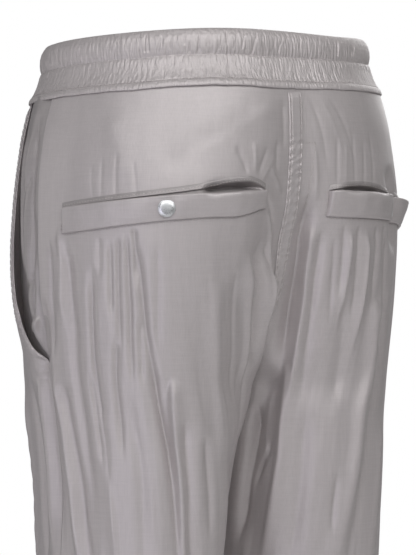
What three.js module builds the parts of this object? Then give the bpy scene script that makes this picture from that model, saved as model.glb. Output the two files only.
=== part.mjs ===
// Track pants as worn, with no wearer in them: satin seat and legs under a gathered elastic
// waistband, with two snapped welt pockets on the back and a slanted pocket at each side.
// Millimetres. The front faces -Y, the wearer's left is +X and up is +Z. The origin is the
// middle of the waist opening, level with the top of the waistband.
import * as THREE from 'three';

// ---- Driving sizes --------------------------------------------------------------------------
const CLOTH = 1.5;              // satin wall
const SEAM_GAP = 0.3;           // between neighbouring pieces
const SEAT = 0.35;              // between a piece and the panel it is sewn on
const WELT_SEAT = 0.8;          // the stiffer welt bridges the panel's small hollows
const WAISTBAND_HEIGHT = 52;
const PANEL_TUCK = 6;           // panel top edge behind the waistband
const CROTCH_Z = -312;
const OUTSEAM = 1060;           // waistband top to hem
const HEM_DEPTH = 26;           // turned up inside
const HEM_TURN = 1.3;           // what the turned cloth adds to the wall
const WAIST_TILT = 0.04;        // the back of the waist sits higher than the front
const TILT_END = -400;          // the tilt has faded out here
const SIDE_SEAM_BACK = 3;       // side seam behind the widest point
const FOLD_FADE = 14;           // folds die out this close to the middle plane
const SATIN = { color: 0xaea8a6, roughness: 0.42, metalness: 0 };
const SATIN_SHADE = { color: 0x9d9795, roughness: 0.5, metalness: 0 };
const STEEL = { color: 0xc9cbcd, roughness: 0.25, metalness: 1 };

// Cross-sections of one half of the garment, from the waist down. side is the half width.
// back and front are where the outline is furthest back and forward. seamBack and seamFront
// are the ends on the middle plane, inner is the leg's distance from it, and arch rounds the
// inner half of the section from a shallow seat (0) to a leg (1).
const SECTION_COLUMNS = ['z', 'side', 'backX', 'backY', 'frontX', 'frontY', 'seamBack', 'seamFront',
  'inner', 'arch'];
const SECTIONS = table(SECTION_COLUMNS, [
  [20, 155, 25, 121, 30, -117, 121, -117, 0, 0],
  [0, 155, 25, 121, 30, -117, 121, -117, 0, 0],
  [-30, 158, 26, 123, 30, -118, 123, -118, 0, 0],
  [-52, 166, 30, 130, 32, -121, 129, -121, 0, 0],
  [-90, 175, 40, 135, 36, -123, 131, -123, 0, 0],
  [-150, 180, 55, 137, 45, -121, 126, -120, 0, 0],
  [-180, 180, 60, 134, 50, -119, 116, -116, 0, 0],
  [-221, 178, 68, 128, 58, -115, 105, -108, 0, 0.05],
  [-265, 174, 76, 121, 68, -111, 88, -92, 0, 0.35],
  [-292, 171.5, 79, 117, 74, -109, 64, -62, 0, 0.75],
  [-304, 170.3, 80, 115.5, 77, -108, 36, -32, 0, 0.92],
  [CROTCH_Z, 169.5, 80, 114.5, 78, -107, 5, 5, 0, 1],
  [-334, 167.5, 76, 112, 82, -105, 5, 5, 1, 1],
  [-392, 164, 76, 105, 85, -99, 5, 5, 3, 1],
  [-467, 161.5, 82, 97, 88, -90, 5, 5, 11, 1],
  [-600, 159, 91, 86, 91, -81, 5, 5, 21, 1],
  [-800, 158, 95, 74, 95, -75, 5, 5, 31, 1],
  [-OUTSEAM, 157, 99, 64, 99, -68, 5, 5, 41, 1],
]);

// Slanted side pocket: mouth is how far the cut edge of the front panel lies in front of the
// side seam, and gape is how far that edge stands out from the body.
const POCKET_SLANT = table(['z', 'mouth', 'gape'], [
  [-46, 52, 0],
  [-100, 48, 1],
  [-150, 42, 4],
  [-190, 38, 7],
  [-220, 33, 9],
  [-250, 24, 9],
  [-272, 11, 5],
  [-288, 0, 1],
  [-310, 0, 0],
]);
const GAPE_REACH = 62;          // the bulge in front of the mouth dies out over this length
const FACING_UNDERLAP = 26;     // facing hidden behind the front panel
const FACING_ALLOWANCE = 7;     // facing sewn behind the back panel
const FACING_BOTTOM = -304;

// Welt pocket on each back panel, by distance from the centre-back seam.
const WELT_LINE = table(['out', 'top', 'gape'], [
  [34, -141, 0.3],
  [52, -140.5, 2.6],
  [72, -140.5, 3.2],
  [92, -141, 2],
  [112, -143, 1],
  [131, -145, 0.6],
  [150, -147, 1],
  [170, -149.5, 1.4],
  [190, -151.5, 1],
  [210, -153.5, 0.5],
  [229, -155.5, 0.3],
]);
const WELT_HEIGHT = 20;
const WELT_WALL = 1.8;
const WELT_MID_GAPE = 0.55;      // share of the gape left near the welt's middle
const WELT_FACING_ABOVE = 5;    // facing seen above the welt's edge
const WELT_FACING_BELOW = 9;
const SNAP_OUT = 131;
const SNAP_RADIUS = 7.5;
const SNAP_HEIGHT = 2.6;

// Raised flat-felled strip down the centre-back seam. half is half its width.
const STRIP = table(['z', 'half'], [
  [-55, 7],
  [-180, 7],
  [-215, 5.5],
  [-240, 4.5],
]);
const STRIP_WALL = 1.2;
const STRIP_SEAT = 0.5;
const PUCKER_LENGTH = 9;
const PUCKER_DEPTH = 0.7;

// Waistband profile, outside face from the top fold down: two channels over elastic, each
// bulging between stitched lines, then a flat strip. out is measured from the panels.
const BAND_PROFILE = table(['z', 'out', 'gather'], [
  [0, 2.4, 0.35],
  [-4, 4.6, 0.8],
  [-14, 5.6, 1],
  [-24.5, 2.6, 0.7],
  [-33, 4.8, 1],
  [-42, 4, 1],
  [-45.5, 2.2, 0.35],
  [-WAISTBAND_HEIGHT, 2.2, 0.1],
]);
const GATHERS = 92;
const GATHER_DEPTH = 1.1;

// Largest folds of each panel. from and to are distances from the side seam towards the
// middle, and depth is out of the body for a ridge and into it for a trough.
const FOLD_COLUMNS = ['fromOut', 'fromZ', 'toOut', 'toZ', 'width', 'depth'];
const FOLDS = {
  back_left: table(FOLD_COLUMNS, [
    [40, -186, 36, -440, 15, -5],
    [22, -200, 14, -470, 14, 3],
    [64, -222, 62, -450, 15, -3.5],
    [84, -205, 86, -520, 17, 3],
    [106, -215, 124, -520, 15, -5.5],
    [148, -200, 170, -380, 18, 3.5],
    [210, -176, 208, -300, 15, -6],
    [176, -300, 150, -560, 16, -7],
  ]),
  back_right: table(FOLD_COLUMNS, [
    [246, -150, 246, -262, 13, -5],
    [228, -186, 230, -290, 14, 4],
    [212, -180, 236, -330, 15, -3],
    [172, -192, 160, -440, 18, 5],
    [134, -190, 128, -430, 16, -5],
    [92, -190, 96, -460, 15, 3.5],
    [50, -196, 44, -440, 16, -3.5],
  ]),
  front_left: table(FOLD_COLUMNS, [
    [96, -110, 104, -420, 18, -4],
    [140, -80, 150, -300, 18, 3.5],
    [182, -240, 150, -520, 17, -5],
    [70, -330, 78, -700, 18, -4],
  ]),
  front_right: table(FOLD_COLUMNS, [
    [90, -120, 98, -380, 18, -4],
    [132, -90, 146, -330, 18, 3.5],
    [176, -236, 146, -560, 17, -5],
    [66, -350, 82, -680, 18, -4],
  ]),
};
// Wrinkles round each leg below the knee, where the cloth breaks on its way down.
const LEG_BREAKS = table(['z', 'height', 'depth', 'turn'], [
  [-560, 34, 2.5, 0.6],
  [-655, 40, 3, 2.4],
  [-760, 36, 2.5, 4.3],
  [-868, 40, 3.2, 0.9],
  [-958, 30, 3.4, 3.2],
]);

// Panel grid: rows down to each level, and columns across the wide part of a panel and its
// inner part, which runs from where the inner part starts to the centre seam or the inseam.
const ROW_SPACING = table(['downTo', 'step'], [
  [-285, 15],
  [CROTCH_Z, 7],
  [-334, 11],
  [-560, 28],
  [-OUTSEAM, 52],
]);
const INNER_PART = table(['z', 'back', 'front'], [
  [-46, 238, 200],
  [-150, 250, 216],
  [-250, 254, 214],
  [CROTCH_Z, 246, 208],
  [-467, 200, 172],
  [-OUTSEAM, 150, 140],
]);
const COLUMNS = { back: { wide: 14, inner: 5 }, front: { wide: 9, inner: 4 } };
const ARC_STEPS = 24;           // points on each quarter of a section

// ---- Small helpers --------------------------------------------------------------------------
function table(columns, rows) {
  return rows.map((row) => Object.fromEntries(columns.map((name, i) => [name, row[i]])));
}

function clamp01(t) {
  return Math.min(1, Math.max(0, t));
}

function smooth(t) {
  const c = clamp01(t);
  return c * c * (3 - 2 * c);
}

// Value of one column of a table at a place along its key column, on a monotone cubic.
function lookup(rows, key, column, at) {
  const ordered = rows[0][key] < rows[rows.length - 1][key] ? rows : [...rows].reverse();
  const x = ordered.map((row) => row[key]);
  const y = ordered.map((row) => row[column]);
  const last = x.length - 1;
  const q = Math.min(x[last], Math.max(x[0], at));
  const step = (i) => x[i + 1] - x[i];
  const rise = (i) => (y[i + 1] - y[i]) / step(i);
  const slope = (i) => {
    if (i === 0) return rise(0);
    if (i === last) return rise(last - 1);
    const [before, after] = [rise(i - 1), rise(i)];
    if (before * after <= 0) return 0;
    const w1 = 2 * step(i) + step(i - 1);
    const w2 = step(i) + 2 * step(i - 1);
    return (w1 + w2) / (w1 / before + w2 / after);
  };
  let i = 0;
  while (i < last - 1 && q > x[i + 1]) i += 1;
  const t = (q - x[i]) / step(i);
  const h = step(i);
  return (2 * t ** 3 - 3 * t ** 2 + 1) * y[i] + (t ** 3 - 2 * t ** 2 + t) * h * slope(i)
    + (3 * t ** 2 - 2 * t ** 3) * y[i + 1] + (t ** 3 - t ** 2) * h * slope(i + 1);
}

function range(count) {
  return Array.from({ length: count }, (_, i) => i);
}

// ---- The body's surface ---------------------------------------------------------------------
const curves = new Map();

// One half section at a level, as points from the back seam round the side to the front seam.
function halfCurve(z) {
  if (curves.has(z)) return curves.get(z);
  const value = (name) => [name, lookup(SECTIONS, 'z', name, z)];
  const v = Object.fromEntries(SECTION_COLUMNS.slice(1).map(value));
  const inner = (seamY, peakX, peakY) => range(ARC_STEPS + 1).map((i) => {
    const q = (Math.PI / 2) * (i / ARC_STEPS);
    const u = i / ARC_STEPS;
    const shallow = [v.inner + (peakX - v.inner) * u, seamY + (peakY - seamY) * smooth(u)];
    const round = [peakX - (peakX - v.inner) * Math.cos(q), seamY + (peakY - seamY) * Math.sin(q)];
    return shallow.map((c, k) => c * (1 - v.arch) + round[k] * v.arch);
  });
  const outer = (peakX, peakY) => range(ARC_STEPS + 1).map((i) => {
    const q = (Math.PI / 2) * (i / ARC_STEPS);
    return [peakX + (v.side - peakX) * Math.sin(q), peakY * Math.cos(q)];
  });
  const back = [...inner(v.seamBack, v.backX, v.backY), ...outer(v.backX, v.backY).slice(1)];
  const front = [...outer(v.frontX, v.frontY).reverse().slice(1),
    ...inner(v.seamFront, v.frontX, v.frontY).reverse().slice(1)];
  const points = [...back, ...front];
  const arc = [0];
  for (let i = 1; i < points.length; i += 1) {
    arc.push(arc[i - 1] + Math.hypot(points[i][0] - points[i - 1][0], points[i][1] - points[i - 1][1]));
  }
  const curve = { points, arc, seam: arc[back.length - 1] - SIDE_SEAM_BACK, length: arc[arc.length - 1] };
  curves.set(z, curve);
  return curve;
}

// Lengths along a level from the side seam to the back and the front seam.
function panelReach(z) {
  const curve = halfCurve(z);
  return { back: curve.seam, front: curve.length - curve.seam };
}

function foldDepth(panel, out, z) {
  let depth = 0;
  for (const fold of FOLDS[panel]) {
    const along = (z - fold.fromZ) / (fold.toZ - fold.fromZ);
    if (along <= 0 || along >= 1) continue;
    const centre = fold.fromOut + (fold.toOut - fold.fromOut) * along;
    const ends = smooth(along / 0.2) * smooth((1 - along) / 0.35);
    depth += fold.depth * ends * Math.exp(-(((out - centre) / fold.width) ** 2));
  }
  return depth;
}

function breakDepth(side, angle, z) {
  let depth = 0;
  for (const crease of LEG_BREAKS) {
    const slant = crease.height * 0.5 * Math.sin(angle + crease.turn * side);
    const across = Math.exp(-(((z - crease.z - slant) / (crease.height * 0.45)) ** 2));
    depth -= crease.depth * across * (0.55 + 0.45 * Math.cos(angle - crease.turn));
  }
  return depth;
}

function pocketGape(out, z) {
  const ahead = -out - lookup(POCKET_SLANT, 'z', 'mouth', z);
  return lookup(POCKET_SLANT, 'z', 'gape', z) * (1 - smooth(ahead / GAPE_REACH));
}

// A point of the garment's outer face. out is the distance from the side seam, positive
// towards the back. layer 'facing' leaves out the bulge of the front panel over its pocket.
function skin(side, out, z, layer = 'panel') {
  const curve = halfCurve(z);
  const s = Math.min(curve.length, Math.max(0, curve.seam - out));
  let i = 1;
  while (i < curve.arc.length - 1 && s > curve.arc[i]) i += 1;
  const [a, b] = [curve.points[i - 1], curve.points[i]];
  const run = curve.arc[i] - curve.arc[i - 1];
  const t = (s - curve.arc[i - 1]) / run;
  const x = a[0] + (b[0] - a[0]) * t;
  const y = a[1] + (b[1] - a[1]) * t;
  const panel = `${out > 0 ? 'back' : 'front'}_${side > 0 ? 'left' : 'right'}`;
  const legX = lookup(SECTIONS, 'z', 'backX', z);
  let depth = foldDepth(panel, Math.abs(out), z) + breakDepth(side, Math.atan2(y, x - legX), z);
  depth *= smooth((x - SEAM_GAP) / FOLD_FADE) * smooth((-z - WAISTBAND_HEIGHT - 8) / 30);
  if (out < 0 && layer === 'panel') depth += pocketGape(out, z);
  const px = Math.max(SEAM_GAP / 2, x + ((a[1] - b[1]) / run) * depth);
  const py = y + ((b[0] - a[0]) / run) * depth;
  return new THREE.Vector3(side * px, py, z + py * WAIST_TILT * clamp01((z - TILT_END) / -TILT_END));
}

// Outward normal of that face, from its neighbours along and down the garment.
function skinNormal(side, out, z, layer) {
  const reach = panelReach(z);
  const [low, high] = out > 0 ? [0.05, reach.back] : [-reach.front, -0.05];
  const ahead = skin(side, Math.min(high, out + 3), z, layer);
  const along = ahead.sub(skin(side, Math.max(low, out - 3), z, layer));
  const down = skin(side, out, z - 4, layer).sub(skin(side, out, z + 4, layer));
  return down.cross(along).multiplyScalar(side).normalize();
}

// A point moved off the garment's face by a distance out of the body.
function offSkin(side, out, z, distance, layer) {
  return skin(side, out, z, layer).addScaledVector(skinNormal(side, out, z, layer), distance);
}

// ---- Closed walls ---------------------------------------------------------------------------
function closedGeometry(positions, index) {
  const geometry = new THREE.BufferGeometry();
  geometry.setAttribute('position', new THREE.Float32BufferAttribute(positions, 3));
  geometry.setIndex(index);
  geometry.computeVertexNormals();
  return geometry;
}

// A wall with four edges from two grids of points, outer[row][column] and inner[row][column].
function wallGeometry(outer, inner, flip) {
  const rows = outer.length;
  const columns = outer[0].length;
  const positions = [...outer.flat(), ...inner.flat()].flatMap((p) => [p.x, p.y, p.z]);
  const index = [];
  const quad = (a, b, c, d) => index.push(...(flip ? [a, c, b, a, d, c] : [a, b, c, a, c, d]));
  const out = (r, c) => r * columns + c;
  const back = (r, c) => rows * columns + out(r, c);
  for (let r = 0; r < rows - 1; r += 1) {
    for (let c = 0; c < columns - 1; c += 1) {
      quad(out(r, c), out(r + 1, c), out(r + 1, c + 1), out(r, c + 1));
      quad(back(r, c + 1), back(r + 1, c + 1), back(r + 1, c), back(r, c));
    }
  }
  for (let c = 0; c < columns - 1; c += 1) {
    quad(out(0, c + 1), back(0, c + 1), back(0, c), out(0, c));
    quad(out(rows - 1, c), back(rows - 1, c), back(rows - 1, c + 1), out(rows - 1, c + 1));
  }
  for (let r = 0; r < rows - 1; r += 1) {
    quad(out(r, 0), back(r, 0), back(r + 1, 0), out(r + 1, 0));
    quad(out(r + 1, columns - 1), back(r + 1, columns - 1), back(r, columns - 1), out(r, columns - 1));
  }
  return closedGeometry(positions, index);
}

// A ring of tube-like section from closed loops of points, loops[around the section][column].
function ringGeometry(loops) {
  const columns = loops[0].length;
  const positions = loops.flat().flatMap((p) => [p.x, p.y, p.z]);
  const index = [];
  loops.forEach((loop, r) => range(columns).forEach((c) => {
    const at = (row, column) => (row % loops.length) * columns + (column % columns);
    index.push(at(r, c), at(r + 1, c + 1), at(r + 1, c), at(r, c), at(r, c + 1), at(r + 1, c + 1));
  }));
  return closedGeometry(positions, index);
}

function node(name, geometry, finish) {
  const mesh = new THREE.Mesh(geometry, new THREE.MeshStandardMaterial(finish));
  mesh.name = name;
  return mesh;
}

// ---- Panels ---------------------------------------------------------------------------------
function panelRows() {
  const rows = [-WAISTBAND_HEIGHT + PANEL_TUCK];
  for (const { downTo, step } of ROW_SPACING) {
    const top = rows[rows.length - 1];
    const count = Math.round((top - downTo) / step);
    rows.push(...range(count).map((i) => top + ((downTo - top) * (i + 1)) / count));
  }
  return rows;
}

function panel(side, face) {
  const rows = panelRows();
  const { wide, inner } = COLUMNS[face];
  const wall = (z) => CLOTH + HEM_TURN * smooth((-OUTSEAM + HEM_DEPTH - z) / 8 + 1);
  const place = (z, c) => {
    const reach = panelReach(z)[face] - SEAM_GAP / 2;
    const start = SEAM_GAP / 2 + (face === 'front' ? lookup(POCKET_SLANT, 'z', 'mouth', z) : 0);
    const bend = Math.min(lookup(INNER_PART, 'z', face, z), reach - 3 * inner);
    const out = c <= wide
      ? start + (bend - start) * (c / wide)
      : bend + (reach - bend) * ((c - wide) / inner);
    return face === 'back' ? out : -out;
  };
  const grid = (distance) => rows.map((z) => range(wide + inner + 1).map((c) => (
    offSkin(side, place(z, c), z, -distance(z)))));
  const flip = (side > 0) !== (face === 'back');
  return wallGeometry(grid(() => 0), grid(wall), flip);
}

// Facing behind the slanted pocket mouth, from behind the back panel's edge forwards.
function pocketFacing(side) {
  const columns = 6;
  const rows = panelRows().filter((z) => z > FACING_BOTTOM);
  const place = (z, c) => {
    const front = -lookup(POCKET_SLANT, 'z', 'mouth', z) - FACING_UNDERLAP;
    return FACING_ALLOWANCE + (front - FACING_ALLOWANCE) * (c / columns);
  };
  const sunk = CLOTH + SEAM_GAP * 2;
  const grid = (distance) => rows.map((z) => range(columns + 1).map((c) => (
    offSkin(side, place(z, c), z, -distance, 'facing'))));
  return wallGeometry(grid(sunk), grid(sunk + CLOTH), side > 0);
}

// ---- Pieces on the back ---------------------------------------------------------------------
function fromCentreBack(out, z) {
  return halfCurve(z).seam - out;
}

// A strip along the welt line. Its rows give a height over the welt's top edge and a lift.
function weltStrip(side, rowsOut, rowsIn) {
  const grid = (rows) => rows.map((row) => WELT_LINE.map((at) => {
    const z = at.top + row.above;
    return offSkin(side, fromCentreBack(at.out, z), z, row.lift + row.gape * at.gape);
  }));
  return wallGeometry(grid(rowsOut), grid(rowsIn), side > 0);
}

function welt(side) {
  const seat = WELT_SEAT + CLOTH + SEAM_GAP * 2;
  const levels = table(['above', 'lift', 'gape'], [
    [0, seat, 1],
    [-WELT_HEIGHT * 0.4, seat, WELT_MID_GAPE],
    [-WELT_HEIGHT, WELT_SEAT, 0],
  ]);
  return weltStrip(side, levels.map((row) => ({ ...row, lift: row.lift + WELT_WALL })), levels);
}

// The facing lies on the panel, and its lower half is behind the welt.
function weltFacing(side) {
  const levels = table(['above', 'lift', 'gape'], [
    [WELT_FACING_ABOVE, WELT_SEAT, 0],
    [-WELT_HEIGHT * 0.15, WELT_SEAT, 0],
    [-WELT_FACING_BELOW, WELT_SEAT, 0],
  ]);
  return weltStrip(side, levels.map((row) => ({ ...row, lift: row.lift + CLOTH * 0.8 })), levels);
}

function snap(side) {
  const profile = [
    [0, 0], [SNAP_RADIUS - 0.5, 0], [SNAP_RADIUS, 0.5], [SNAP_RADIUS, 1.1],
    [SNAP_RADIUS - 0.9, 1.8], [SNAP_RADIUS * 0.55, SNAP_HEIGHT - 0.2], [0, SNAP_HEIGHT],
  ].map(([r, h]) => new THREE.Vector2(r, h));
  const geometry = new THREE.LatheGeometry(profile, 20);
  const z = lookup(WELT_LINE, 'out', 'top', SNAP_OUT) - WELT_HEIGHT / 2;
  const out = fromCentreBack(SNAP_OUT, z);
  const weltFace = WELT_SEAT + CLOTH + SEAM_GAP * 2 + WELT_WALL;
  const lift = weltFace + SEAT + WELT_MID_GAPE * lookup(WELT_LINE, 'out', 'gape', SNAP_OUT);
  const normal = skinNormal(side, out, z);
  geometry.applyQuaternion(new THREE.Quaternion().setFromUnitVectors(new THREE.Vector3(0, 1, 0), normal));
  const seat = skin(side, out, z).addScaledVector(normal, lift);
  geometry.translate(seat.x, seat.y, seat.z);
  return geometry;
}

// Puckered strip over the centre-back seam, with one set of columns on each side of it.
function centreBackStrip() {
  const top = STRIP[0].z;
  const bottom = STRIP[STRIP.length - 1].z;
  const count = Math.round((top - bottom) / (PUCKER_LENGTH / 2));
  const across = [-1, -0.34, 0.34, 1];
  const grid = (lift, pucker) => range(count + 1).map((r) => across.map((share) => {
    const z = top + ((bottom - top) * r) / count;
    const half = lookup(STRIP, 'z', 'half', z);
    const ends = smooth(r / 3) * smooth((count - r) / 3);
    const wave = Math.sin((Math.PI * r) + share * 1.2) * (r % 2 ? 1 : 0.6);
    const out = fromCentreBack(Math.abs(share) * half, z);
    return offSkin(Math.sign(share), out, z, lift + pucker * ends * wave * (1.1 - Math.abs(share)));
  }));
  return wallGeometry(grid(STRIP_SEAT + STRIP_WALL, PUCKER_DEPTH), grid(STRIP_SEAT, 0), true);
}

// ---- Waistband ------------------------------------------------------------------------------
// Two columns for each gather, one on its ridge and one in its valley.
function waistband() {
  const columns = GATHERS * 2;
  const around = (z, c, distance) => {
    const curve = halfCurve(z);
    const turn = (2 * c) / columns;
    const side = turn <= 1 ? 1 : -1;
    const s = (turn <= 1 ? turn : 2 - turn) * curve.length;
    const out = curve.seam - Math.min(curve.length, Math.max(0, s));
    const normal = skinNormal(side, out, z);
    const onSeam = c === 0 || c === GATHERS;
    if (onSeam) normal.x = 0;
    const point = skin(side, out, z).addScaledVector(normal.normalize(), distance);
    if (onSeam) point.x = 0;
    return point;
  };
  const gather = (c) => {
    const unevenness = 0.7 + 0.3 * Math.sin(c * 1.9) * Math.cos(c * 0.53);
    return GATHER_DEPTH * unevenness * (c % 2 ? -0.7 : 0.7);
  };
  const outer = BAND_PROFILE.map((row) => range(columns).map((c) => (
    around(row.z, c, row.out + row.gather * gather(c)))));
  const inner = [-WAISTBAND_HEIGHT, 0].map((z) => range(columns).map((c) => around(z, c, SEAT)));
  return ringGeometry([...outer, ...inner]);
}

// ---- The garment ----------------------------------------------------------------------------
const garment = new THREE.Group();
for (const [side, name] of [[1, 'left'], [-1, 'right']]) {
  garment.add(node(`back_panel_${name}`, panel(side, 'back'), SATIN));
  garment.add(node(`front_panel_${name}`, panel(side, 'front'), SATIN));
  garment.add(node(`side_pocket_facing_${name}`, pocketFacing(side), SATIN_SHADE));
  garment.add(node(`welt_${name}`, welt(side), SATIN));
  garment.add(node(`welt_facing_${name}`, weltFacing(side), SATIN_SHADE));
  garment.add(node(`snap_${name}`, snap(side), STEEL));
}
garment.add(node('centre_back_strip', centreBackStrip(), SATIN));
garment.add(node('waistband', waistband(), SATIN));

export default garment;
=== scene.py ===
"""Satin track pants, worn and empty, seen from behind and from the wearer's left.

Sizes below are millimetres in the part's own frame, and meshes are written in metres. A place
on the cloth is (out, z): out is the distance from the side seam, positive towards the back
seam and negative towards the front seam, and z is the height.
"""
import math

import bmesh
import bpy
import numpy as np
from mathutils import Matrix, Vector


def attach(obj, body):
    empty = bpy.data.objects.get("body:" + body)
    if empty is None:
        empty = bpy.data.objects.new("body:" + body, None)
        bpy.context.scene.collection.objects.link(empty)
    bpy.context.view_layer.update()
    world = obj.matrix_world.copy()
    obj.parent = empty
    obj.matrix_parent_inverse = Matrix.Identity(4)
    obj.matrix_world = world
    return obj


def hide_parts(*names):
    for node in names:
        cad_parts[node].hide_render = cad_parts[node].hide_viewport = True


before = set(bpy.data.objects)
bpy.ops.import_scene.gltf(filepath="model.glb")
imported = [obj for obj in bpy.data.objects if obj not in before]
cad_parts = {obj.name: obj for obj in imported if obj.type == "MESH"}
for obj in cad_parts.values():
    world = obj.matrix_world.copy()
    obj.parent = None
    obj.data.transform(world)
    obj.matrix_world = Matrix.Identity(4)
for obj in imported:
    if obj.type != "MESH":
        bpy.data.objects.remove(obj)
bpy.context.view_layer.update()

MM = 0.001
LEFT, RIGHT = 1, -1
SIDES = ((LEFT, "left"), (RIGHT, "right"))

# ---- Sizes shared with the part ----
WAISTBAND_HEIGHT = 52
CROTCH_Z = -312
OUTSEAM = 1060
HEM_DEPTH = 26
WAIST_TILT = 0.04
TILT_END = -400
SIDE_SEAM_BACK = 3
SEAM_GAP = 0.3
FOLD_FADE = 14

SECTION_COLUMNS = ("z", "side", "back_x", "back_y", "front_x", "front_y", "seam_back",
                   "seam_front", "inner", "arch")
SECTIONS = np.array([
    [20, 155, 25, 121, 30, -117, 121, -117, 0, 0],
    [0, 155, 25, 121, 30, -117, 121, -117, 0, 0],
    [-30, 158, 26, 123, 30, -118, 123, -118, 0, 0],
    [-52, 166, 30, 130, 32, -121, 129, -121, 0, 0],
    [-90, 175, 40, 135, 36, -123, 131, -123, 0, 0],
    [-150, 180, 55, 137, 45, -121, 126, -120, 0, 0],
    [-180, 180, 60, 134, 50, -119, 116, -116, 0, 0],
    [-221, 178, 68, 128, 58, -115, 105, -108, 0, 0.05],
    [-265, 174, 76, 121, 68, -111, 88, -92, 0, 0.35],
    [-292, 171.5, 79, 117, 74, -109, 64, -62, 0, 0.75],
    [-304, 170.3, 80, 115.5, 77, -108, 36, -32, 0, 0.92],
    [CROTCH_Z, 169.5, 80, 114.5, 78, -107, 5, 5, 0, 1],
    [-334, 167.5, 76, 112, 82, -105, 5, 5, 1, 1],
    [-392, 164, 76, 105, 85, -99, 5, 5, 3, 1],
    [-467, 161.5, 82, 97, 88, -90, 5, 5, 11, 1],
    [-600, 159, 91, 86, 91, -81, 5, 5, 21, 1],
    [-800, 158, 95, 74, 95, -75, 5, 5, 31, 1],
    [-OUTSEAM, 157, 99, 64, 99, -68, 5, 5, 41, 1],
])
# Slanted side pocket: z, mouth ahead of the side seam, and how far the edge gapes, which near
# the foot is a little more than on the solid. The gape dies out over GAPE_REACH ahead of the edge.
POCKET_SLANT = np.array([
    [-46, 52, 0], [-100, 48, 1], [-150, 42, 4], [-190, 38, 7], [-220, 33, 8.6], [-250, 24, 8.4],
    [-272, 11, 6.6], [-288, 0, 4], [-310, 0, 1.6], [-330, 0, 0],
])
GAPE_REACH = 62
# Below the mouth's end, where the mouth is narrower than this, the seam is sewn shut and holds
# the cloth down as far ahead of it as the second number says.
SEWN_MOUTH, SEWN_REACH = 6, 14
# Welt pockets: distance from the centre-back seam; heights of the lip above the mouth, of the
# band's top edge and of its bottom edge; and how far the top edge stands off.
WELT_COLUMNS = ("across", "lip", "top", "bottom", "gape")
WELTS = {
    "left": np.array([
        [36, -141, -143, -157, 0.4], [46, -137, -142.7, -159, 2], [56, -135.2, -143, -162, 3.6],
        [73, -136.8, -145, -165, 4.6], [94, -140.8, -146, -165.6, 3.8],
        [115, -143.8, -147, -167, 2], [131, -145.6, -148, -168, 1.2], [152, -147.6, -149.4, -170, 1],
        [178, -150, -151.4, -172.4, 0.8], [200, -152, -153.2, -174.4, 0.6],
        [227, -154.8, -155.4, -176.6, 0.3],
    ]),
    "right": np.array([
        [35, -140.6, -142, -163, 0.4], [56, -137.6, -141.2, -164, 2.6], [72, -136.8, -141.4, -164, 4.4],
        [88, -137.6, -141.6, -164.2, 4.6], [106, -140, -142.6, -164.6, 2.6],
        [125, -142.4, -143.6, -165.4, 1.6], [145, -144, -145.4, -166.6, 4.4],
        [160, -145.6, -147, -168, 6.4], [176, -147.4, -149, -170, 5], [200, -151, -152, -173.4, 1.6],
        [227, -154.8, -155.4, -176.6, 0.3],
    ]),
}
SNAP_OUT = 130
# Centre-back strip: z and half width.
STRIP = np.array([[-55, 7.4], [-180, 7.2], [-215, 6], [-246, 4.6]])
PUCKER_LENGTH = 7.6
LEG_BREAKS = ((-560, 34, 2.5, 0.6), (-655, 40, 3, 2.4), (-760, 36, 2.5, 4.3), (-868, 40, 3.2, 0.9),
              (-958, 30, 3.4, 3.2))
# Worn, the legs hang a little further back than the solid's, from LEG_TOP down.
LEG_SET_BACK, LEG_TOP, LEG_SETTLING = 7.4, -290, 110
# The waist sits a little lower than the solid's plane, most on the wearer's left.
WAIST_SAG, WAIST_ROLL = 2.8, 0.026
SAG_FOOT, SAG_LENGTH = -132, 66

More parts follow.
